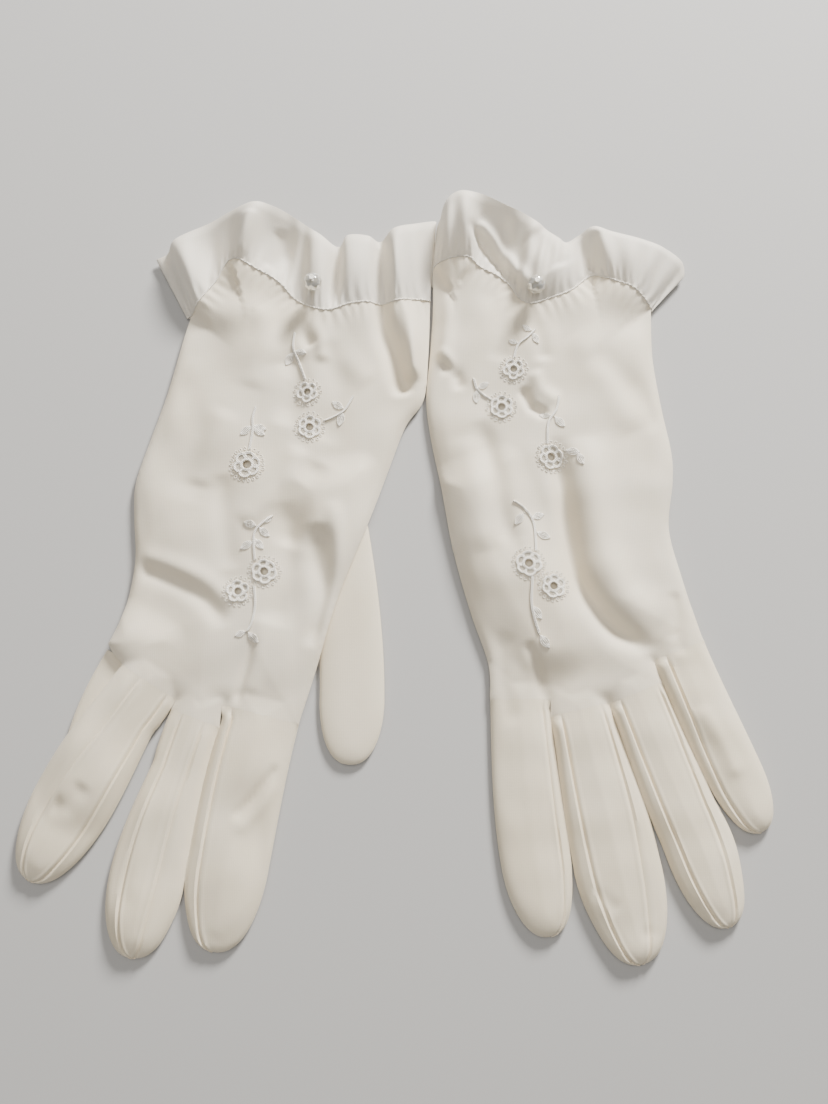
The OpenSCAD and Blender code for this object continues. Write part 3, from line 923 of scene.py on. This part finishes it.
# One flower: a corded eyelet, looped petals with open hearts, and a fringe of fine loops
def flowerLines(centre, radius, seed):
    rng = np.random.default_rng(seed)
    fine, bold = [], []
    hole = radius * embroidery["eyelet"]
    turn = rng.uniform(0, 1)
    for k in range(2):
        bold.append(stitchRing(centre, hole + 0.25 + 0.36 * k, 0.34 - 0.08 * k, 11, 0.07, k))
    petals = embroidery["petals"] - (1 if radius < 4.5 else 0)
    for i in range(petals):
        a = math.tau * (i + turn + rng.uniform(-0.07, 0.07)) / petals
        away = np.array([math.cos(a), math.sin(a)])
        side = np.array([-away[1], away[0]])
        middle = np.array(centre) + away * radius * 0.6
        across = radius * rng.uniform(0.34, 0.39)
        deep = radius * rng.uniform(0.26, 0.31)
        b = np.linspace(-2.35, 2.35, 30)
        xy = middle + np.outer(np.sin(b), side) * across + np.outer(np.cos(b), away) * deep
        bold.append(np.column_stack([xy, 0.34 + 0.14 * np.cos(b)]))
        xy = middle + np.outer(np.sin(b), side) * across * 0.78 + np.outer(np.cos(b), away) * deep * 0.74
        bold.append(np.column_stack([xy, 0.26 + 0.1 * np.cos(b)]))
        turns = embroidery["satinTurns"]
        for k in range(turns):
            q = -1.1 + 2.2 * k / (turns - 1)
            near = middle + side * across * 0.3 * math.sin(q) - away * deep * 0.7
            far = middle + side * across * 0.66 * math.sin(q) + away * deep * 0.62 * math.cos(q)
            xy = near + np.outer(np.linspace(0, 1, 5), far - near)
            fine.append(np.column_stack([xy, np.full(5, 0.08)]))
    loops = int(radius * embroidery["loopsPerMm"])
    fringe = []
    for i in range(loops):
        a = math.tau * i / loops
        b = np.linspace(0, math.tau, 11)
        r = radius * 1.0 + 0.5 + 0.55 * np.sin(b) + rng.uniform(-0.2, 0.2)
        q = a + 0.42 * np.cos(b) / radius
        xy = np.column_stack([centre[0] + r * np.cos(q), centre[1] + r * np.sin(q)])
        fringe.append(np.column_stack([xy, np.full(11, 0.14)]))
    return fine, bold, fringe


def leafLines(base, tip):
    base, tip = np.array(base, float), np.array(tip, float)
    base = base + (tip - base) * 0.12
    d = tip - base
    n = np.array([-d[1], d[0]]) * 0.24
    lines = []
    for s in (-1, -0.5, 0, 0.5, 1):
        t = np.linspace(0.02, 0.98, 10)
        xy = base + np.outer(t, d) + np.outer(np.sin(np.pi * t), n * s)
        lines.append(np.column_stack([xy, np.full(10, 0.3 - 0.1 * abs(s))]))
    return lines


# The cuff frill: a closed ring of cloth from the seam out to its folded edge
frill = {
    "around": 220,
    "across": 22,
    "puckers": 46,
    "puckerHeight": 0.55,
    "thickness": 0.3,
}


def frillRows(glove):
    stations = glove["overFrill"] + glove["underFrill"]
    count = len(stations)
    upper = len(glove["overFrill"])
    values = np.array([[*a, *b, c, float(i < upper)] for i, (a, b, c) in enumerate(stations)])
    u = np.arange(frill["around"]) / frill["around"]
    i = np.floor(u * count).astype(int)
    t = (u * count - i)[:, None]
    a, b, c, d = (values[(i + k) % count] for k in (-1, 0, 1, 2))
    curve = (2 * a - 5 * b + 4 * c - d) * t**2 + (3 * b - a - 3 * c + d) * t**3
    ring = 0.5 * (2 * b + (c - a) * t + curve)
    inner, outer, bulge, over = ring[:, :3], ring[:, 3:6], ring[:, 6], np.clip(ring[:, 7], 0, 1)
    pucker = np.sin(u * math.tau * frill["puckers"] + 1.7 * np.sin(u * math.tau * 5))
    broad = np.sin(u * math.tau * 17 + 2.2 * np.sin(u * math.tau * 3))
    rows = []
    for j in range(frill["across"] + 1):
        v = j / frill["across"]
        p = inner + (outer - inner) * v
        arch = math.sin(math.pi * v)
        p[:, 2] += over * (1.3 * bulge * arch + 0.6 * broad * arch)
        p[:, 2] += over * frill["puckerHeight"] * pucker * math.exp(-((v / 0.22) ** 2)) * min(1, v * 12)
        for line, high, wide in glove["frillFolds"]:
            away, where = distanceTo(p[:, :2], smoothLine(line, step=3))
            fade = eased(np.clip(np.minimum(where, 1 - where) * 6 + 0.1, 0, 1))
            p[:, 2] += 1.5 * over * high * fade * np.exp(-((away / wide) ** 2)) * min(1, v * 6)
        if v > 0.9:
            p[:, 2] -= (v - 0.9) * 8 * over
        p[:, 2] = np.maximum(p[:, 2], 0.55 + 0.6 * over)
        rows.append(p)
    return rows


def buildFrill(glove):
    rows = frillRows(glove)
    n = frill["around"]
    vertices = np.concatenate([toFrame(r[:, :2], r[:, 2]) for r in rows])
    faces = []
    for j in range(len(rows) - 1):
        for i in range(n):
            a, b = j * n + i, j * n + (i + 1) % n
            faces.append((a, b, b + n, a + n))
    u = np.tile(np.arange(n) / n, len(rows))
    v = np.repeat(np.arange(len(rows)) / (len(rows) - 1), n)
    uvs = np.column_stack([u * 0.34, v * 0.03])
    piece = makeMesh(glove["name"] + "CuffFrill", vertices, faces, uvs)
    chooseOnly(piece)
    bpy.ops.object.mode_set(mode="EDIT")
    bpy.ops.mesh.select_all(action="SELECT")
    bpy.ops.mesh.normals_make_consistent(inside=False)
    bpy.ops.object.mode_set(mode="OBJECT")
    top = [f.normal.z for f in piece.data.polygons if f.center.z > 5 * mm]
    if sum(top) < 0:
        piece.data.flip_normals()
    thicken(piece, frill["thickness"])
    smoothShade(piece, 60)
    return piece


# The camera stands almost straight above the pair
view = {"aim": (7.0, -8.0), "away": 394.0, "tilt": 10.0, "lens": 36.0}


def makeCamera():
    data = bpy.data.cameras.new("viewCamera")
    data.lens = view["lens"]
    data.sensor_width = 36.0
    camera = bpy.data.objects.new("viewCamera", data)
    bpy.context.scene.collection.objects.link(camera)
    tilt = math.radians(view["tilt"])
    x, y = np.array(view["aim"]) + shift
    place = (x, y - math.sin(tilt) * view["away"], math.cos(tilt) * view["away"])
    camera.location = Vector(place) * mm
    camera.rotation_euler = (tilt, 0, 0)
    bpy.context.scene.camera = camera


lamps = {
    "window": {"place": (0.45, 0.95, 0.5), "size": 0.3, "power": 41.0, "colour": (1.0, 0.97, 0.92)},
    "ceiling": {"place": (-0.1, 0.1, 1.2), "size": 1.0, "power": 9.0, "colour": (1.0, 0.96, 0.9)},
}


def makeLights():
    for name, lamp in lamps.items():
        data = bpy.data.lights.new(name, "AREA")
        data.shape = "DISK"
        data.size = lamp["size"]
        data.energy = lamp["power"]
        data.color = lamp["colour"]
        light = bpy.data.objects.new(name, data)
        bpy.context.scene.collection.objects.link(light)
        light.location = lamp["place"]
        light.rotation_euler = (-Vector(lamp["place"])).to_track_quat("-Z", "Y").to_euler()
    world = bpy.data.worlds.new("studio")
    world.use_nodes = True
    world.node_tree.nodes["Background"].inputs["Color"].default_value = (1.0, 0.97, 0.92, 1)
    world.node_tree.nodes["Background"].inputs["Strength"].default_value = 0.18
    bpy.context.scene.world = world


def makeFloor():
    bpy.ops.mesh.primitive_plane_add(size=3, location=(0, 0, -0.0005))
    floor = bpy.context.active_object
    floor.name = "floor"
    f = Finish("floorPaint")
    f.set("Base Color", (0.46, 0.46, 0.46, 1))
    f.set("Roughness", 0.9)
    floor.data.materials.append(f.material)


makeCamera()
makeLights()
makeFloor()
print("camera, lights and floor ready")

handCloth = nylonFinish("handNylon", (0.87, 0.785, 0.64, 1), (0.80, 0.70, 0.54, 1), 0.12, 0.3)
fingerCloth = nylonFinish("fingerNylon", (0.87, 0.77, 0.60, 1), (0.80, 0.69, 0.51, 1), 0.12, 0.28)
frillCloth = nylonFinish("frillNylon", (0.80, 0.75, 0.66, 1), (0.73, 0.675, 0.58, 1), 0.3, 0.34)
silk = stitchFinish("embroiderySilk", (0.94, 0.91, 0.84, 1), (0.78, 0.73, 0.62, 1))
# Darker tan thread colour: painted shade, used on the satin fill stitches and on the cords under stems and
# leaves
paintedShadeSatin = stitchFinish("satinPaintedShade", (0.62, 0.57, 0.47, 1), (0.42, 0.37, 0.28, 1))
sewing = stitchFinish("sewingThread", (0.84, 0.80, 0.72, 1), (0.62, 0.57, 0.48, 1))
clear = glassFinish("clearGlass")


def flatArea(piece):
    # the cut of one panel: its own cloth, on one side of the wall
    return sum(f.area for f in piece.data.polygons) / 2


def declareCloth(piece):
    low, high = boxOf(piece)
    w, l = piece.get("cut", (high - low)[:2])
    area = flatArea(piece)
    w = max(w, 0.0101, area / l)  # the narrowest flat side that a declaration takes is 10 mm


def boxOf(piece):
    co = np.array([tuple(v.co) for v in piece.data.vertices])
    return co.min(0), co.max(0)


def headPoint(digit, t):
    p = pointOn(digit, t) + shift
    return np.array([p[0], p[1], 0.0]) * mm


def attachDigit(piece, glove, part):
    digit = glove["digits"][part]
    d = headingOf(digit, 0)
    root = headPoint(digit, 0)
    hand = glove["name"] + "_hand"
    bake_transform(piece)


# Pieces at the wrist seam have their placing baked into their meshes
def turnAtWrist(piece, glove):
    glove["name"] + "_hand"
    glove["name"] + "_cuff"
    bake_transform(piece)


def buildDigit(glove, lie, part):
    name = glove["name"]
    strips = {side: (*strip, side) for side, strip in glove["strips"].get(part, {}).items()}
    made = []
    ends = strips.get(-1, -1), strips.get(1, 1)
    back = digitStrip(f"{name}{part.title()}Back", lie, part, *ends, True, 24)
    made.append((back, f"{name}_{part}_back"))
    palm = digitStrip(f"{name}{part.title()}Palm", lie, part, -1, 1, False, 16)
    made.append((palm, f"{name}_{part}_palm"))
    for side, strip in strips.items():
        ends = (-1, strip) if side < 0 else (strip, 1)
        label = "Outer" if side * glove["turn"] < 0 else "Inner"
        piece = digitStrip(f"{name}{part.title()}Fourchette{label}", lie, part, *ends, True, 9)
        made.append((piece, f"{name}_{part}_fourchette" + ("s" if len(strips) > 1 else "")))
    for piece, node in made:
        thicken(piece, cloth["thickness"])
        smoothShade(piece, 50)
        giveFinish(piece, fingerCloth)
        declareCloth(piece)
        attachDigit(piece, glove, part)
        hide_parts(node)


def buildGlove(glove):
    name = glove["name"]
    lie = Lie(glove)
    ring = evenRing(lie.hand, cloth["gridStep"])
    flowers = [f for group in glove["flowers"].values() for f in group]
    holes = [roundHole((x, y), r * 0.28) for x, y, r in flowers]
    back = panel(name + "BackPanel", ring, holes, lie.top, cloth["gridStep"])
    thicken(back, cloth["thickness"])
    smoothShade(back, 60)
    giveFinish(back, handCloth)
    under = evenRing(lie.palm, cloth["gridStep"] * 1.5)
    palm = panel(name + "PalmPanel", under, [], lie.palmCloth, cloth["gridStep"] * 2, up=False)
    thicken(palm, cloth["thickness"])
    smoothShade(palm, 60)
    giveFinish(palm, handCloth)
    hand = name + "_hand"
    for piece, node in ((back, "_back_panel"), (palm, "_palm_panel")):
        declareCloth(piece)
        turnAtWrist(piece, glove)
        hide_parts(name + node)
    print(name, "hand panels ready")

    for part in glove["digits"]:
        buildDigit(glove, lie, part)
    print(name, "digits ready")

    for i, (group, places) in enumerate(glove["flowers"].items()):
        parts = [flowerLines((x, y), r, i * 7 + k) for k, (x, y, r) in enumerate(places)]
        fine, bold, fringe = ([x for p in parts for x in p[kind]] for kind in range(3))
        cords = threads(f"{name}{group.title()}FlowerCords", bold, embroidery["cord"], 6, lie)
        satin = threads(f"{name}{group.title()}FlowerSatin", fine, embroidery["satin"], 5, lie)
        loops = threads(f"{name}{group.title()}FlowerFringe", fringe, embroidery["fringe"], 5, lie)
        # The satin fill threads take the darker tan colour as painted shade between the bright cords
        for piece, finish in ((cords, silk), (satin, paintedShadeSatin), (loops, silk)):
            giveFinish(piece, finish)
            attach(piece, hand)
            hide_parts(f"{name}_{group}_flowers")
    lines = []
    for stem in glove["stems"]:
        line = liftedLine(stem, embroidery["stemLift"])
        lines.append(line)
        lines.append(line[1:-1] + (0.38, 0.0, 0.1))
    stems = threads(name + "Stems", lines, embroidery["stem"], 6, lie)
    veins = [x for b, t in glove["leaves"] for x in leafLines(b, t)]
    leaves = threads(name + "Leaves", veins, embroidery["leaf"], 5, lie)
    # Wider dark cords under each stem and along each leaf: painted shadow outlines where there is only
    # shade
    under = [line + (0, 0, embroidery["shadowOutlineLift"] - embroidery["stemLift"]) for line in lines[::2]]
    leafShadowOutlines = [liftedLine([b, t], embroidery["shadowOutlineLift"]) for b, t in glove["leaves"]]
    shadowOutline = threads(name + "StemShadowOutlines", under + leafShadowOutlines, embroidery["shadowOutline"], 5, lie)
    for piece, finish in ((stems, silk), (leaves, silk), (shadowOutline, paintedShadeSatin)):
        giveFinish(piece, finish)
        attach(piece, hand)
        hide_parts(name + "_stems")
    print(name, "embroidery ready")

    ruffle = buildFrill(glove)
    giveFinish(ruffle, frillCloth)
    turnAtWrist(ruffle, glove)
    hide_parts(name + "_cuff_frill")
    gather = buildGather(glove)
    giveFinish(gather, sewing)
    turnAtWrist(gather, glove)
    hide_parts(name + "_gather_cord")
    buildBead(glove)
    print(name, "cuff ready")


# The gathering cord, two strands twisted round each other along the seam
def buildGather(glove):
    route = smoothLine([a for a, b, c in glove["overFrill"] + glove["underFrill"]], True, 1.0)
    run = np.roll(route, -1, axis=0) - np.roll(route, 1, axis=0)
    run /= np.linalg.norm(run, axis=1, keepdims=True)
    side = np.cross(run, [0, 0, 1.0])
    side /= np.linalg.norm(side, axis=1, keepdims=True)
    up = np.cross(side, run)
    turns = round(len(route) / 3.2)
    strands = []
    for k in range(2):
        a = math.tau * turns * np.arange(len(route) + 1) / len(route) + math.pi * k
        ringIndex = np.arange(len(route) + 1) % len(route)
        away = 0.2 * (np.cos(a)[:, None] * side[ringIndex] + np.sin(a)[:, None] * up[ringIndex])
        line = route[ringIndex] + away + (0, 0, 0.1)
        line[:, 2] = np.maximum(line[:, 2], 0.45)
        strands.append(line)
    return threads(glove["name"] + "GatherCord", strands, 0.24, 6)


# A faceted glass ball, made from a low ball by bevelling its edges
bead = {"diameter": 6.9, "segments": 9, "rings": 6, "bevel": 0.16, "turned": (0.5, 0.35, 0.2)}


def buildBead(glove):
    name = glove["name"]
    low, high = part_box(name + "_bead")
    middle = (low + high) / 2
    for o in list(bpy.context.selected_objects):
        o.select_set(False)
    bpy.ops.mesh.primitive_uv_sphere_add(
        segments=bead["segments"],
        ring_count=bead["rings"],
        radius=bead["diameter"] / 2 * mm,
        location=middle,
        rotation=bead["turned"],
    )
    ball = bpy.context.active_object
    ball.name = name + "GlassBead"
    bpy.ops.object.transform_apply(location=True, rotation=True, scale=True)
    bpy.ops.object.mode_set(mode="EDIT")
    bpy.ops.mesh.select_all(action="SELECT")
    bpy.ops.mesh.bevel(offset=bead["bevel"] * mm, segments=2, affect="EDGES")
    bpy.ops.object.mode_set(mode="OBJECT")
    smoothShade(ball, 4)
    giveFinish(ball, clear)
    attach(ball, name + "_glass_bead")
    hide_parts(name + "_bead")


for glove in (rightGlove, leftGlove):
    buildGlove(glove)

for node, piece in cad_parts.items():
    if not piece.hide_render:
        piece.data.materials.clear()
        piece.data.materials.append(silk if "thread" in node else handCloth)
